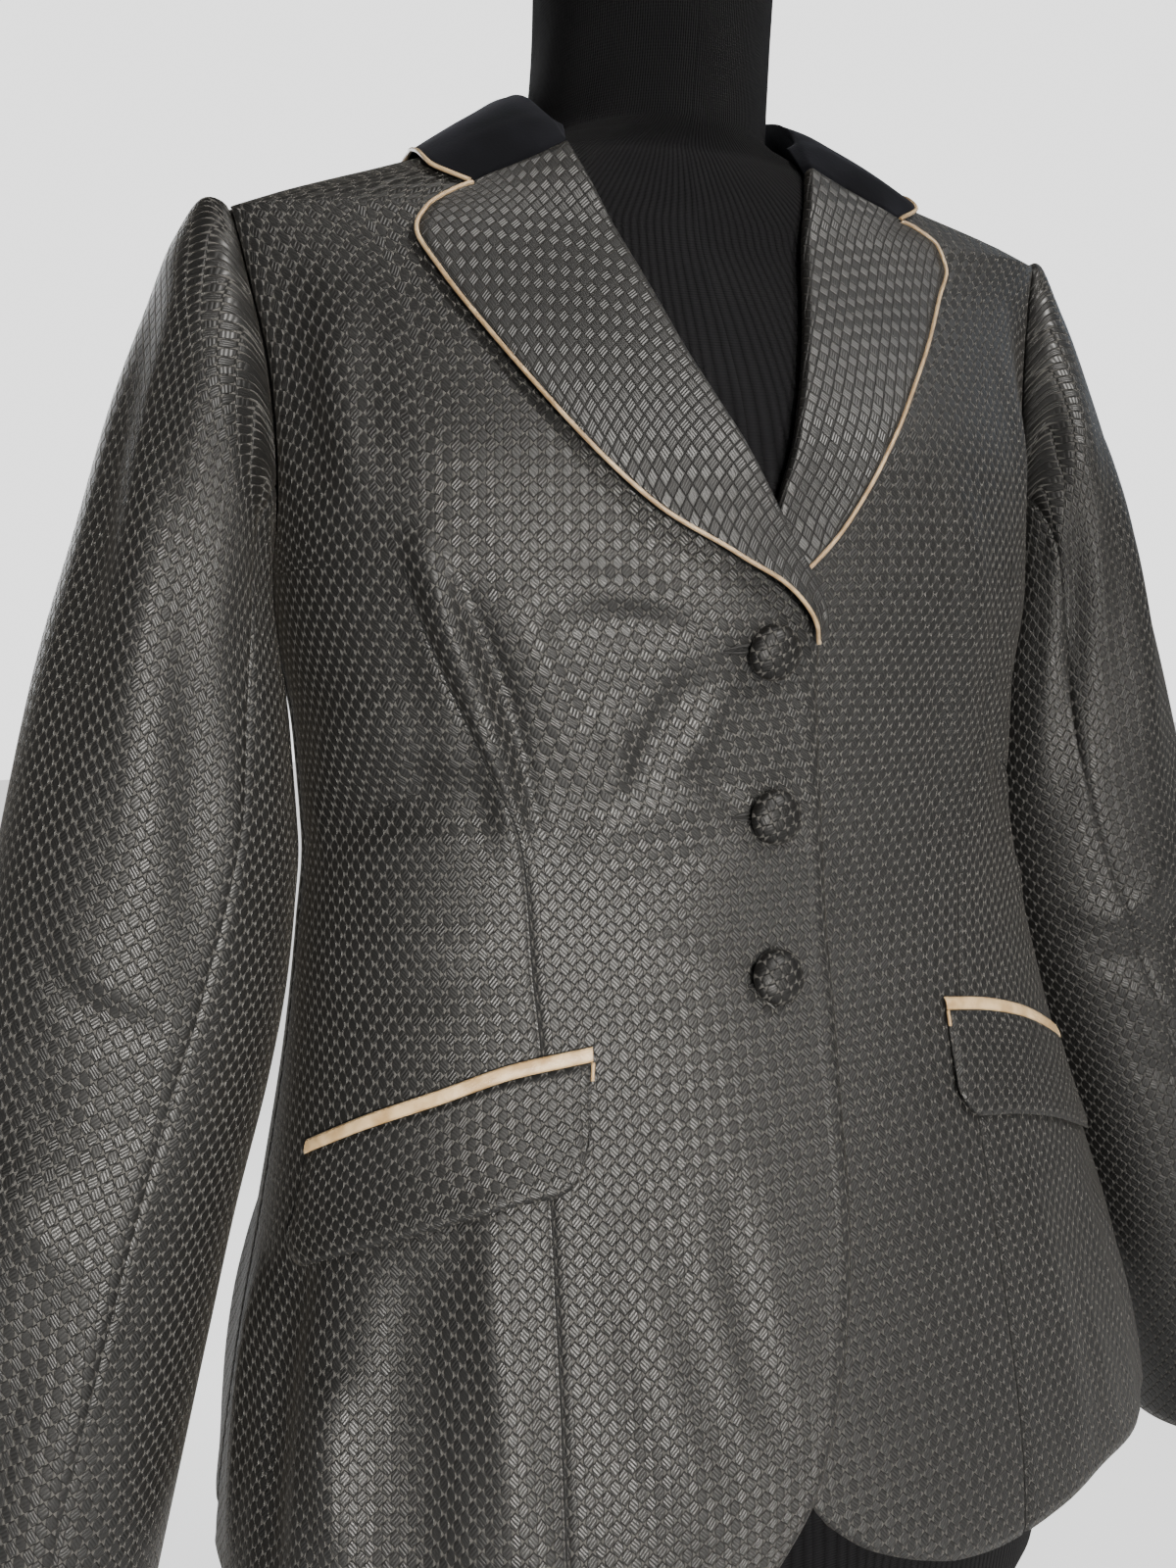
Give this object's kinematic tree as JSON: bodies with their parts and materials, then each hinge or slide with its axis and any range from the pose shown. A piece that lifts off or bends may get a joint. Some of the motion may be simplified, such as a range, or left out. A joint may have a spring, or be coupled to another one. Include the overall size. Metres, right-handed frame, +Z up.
{
  "type": "hunt coat on a dress form with its stand",
  "caption": "Fitted tailored hunt coat with notched lapels, velvet collar, flap pockets and long sleeves, worn by a limbless dress form on a round based stand.",
  "frame": {"origin": "centre of the stand's flat underside, on the floor", "axes": "+Z up; the coat faces -Y; the wearer's left is +X"},
  "size_m": [0.7322, 0.35, 1.56],
  "materials": {
    "jacquard": "black on black basket jacquard, satin floats",
    "velvet": "short pile velvet",
    "satin": "satin",
    "knit": "fine ribbed knit cover",
    "black_wood": "black satin lacquer",
    "black_metal": "black satin paint"
  },
  "bodies": {
    "root": {"front_right": "jacquard", "front_left": "jacquard", "side_back_right": "jacquard", "side_back_left": "jacquard", "back_right": "jacquard", "back_left": "jacquard", "sleeve_upper_right": "jacquard", "sleeve_upper_left": "jacquard", "sleeve_under_right": "jacquard", "sleeve_under_left": "jacquard", "lapel_right": "jacquard", "lapel_left": "jacquard", "flap_right": "jacquard", "flap_left": "jacquard", "button_top": "jacquard", "button_middle": "jacquard", "button_bottom": "jacquard", "collar": "velvet", "lapel_piping_right": "satin", "lapel_piping_left": "satin", "collar_piping": "satin", "welt_right": "satin", "welt_left": "satin", "form_torso": "knit", "form_cap": "black_wood", "form_pole": "black_metal", "form_base": "black_metal"}
  },
  "joints": []
}
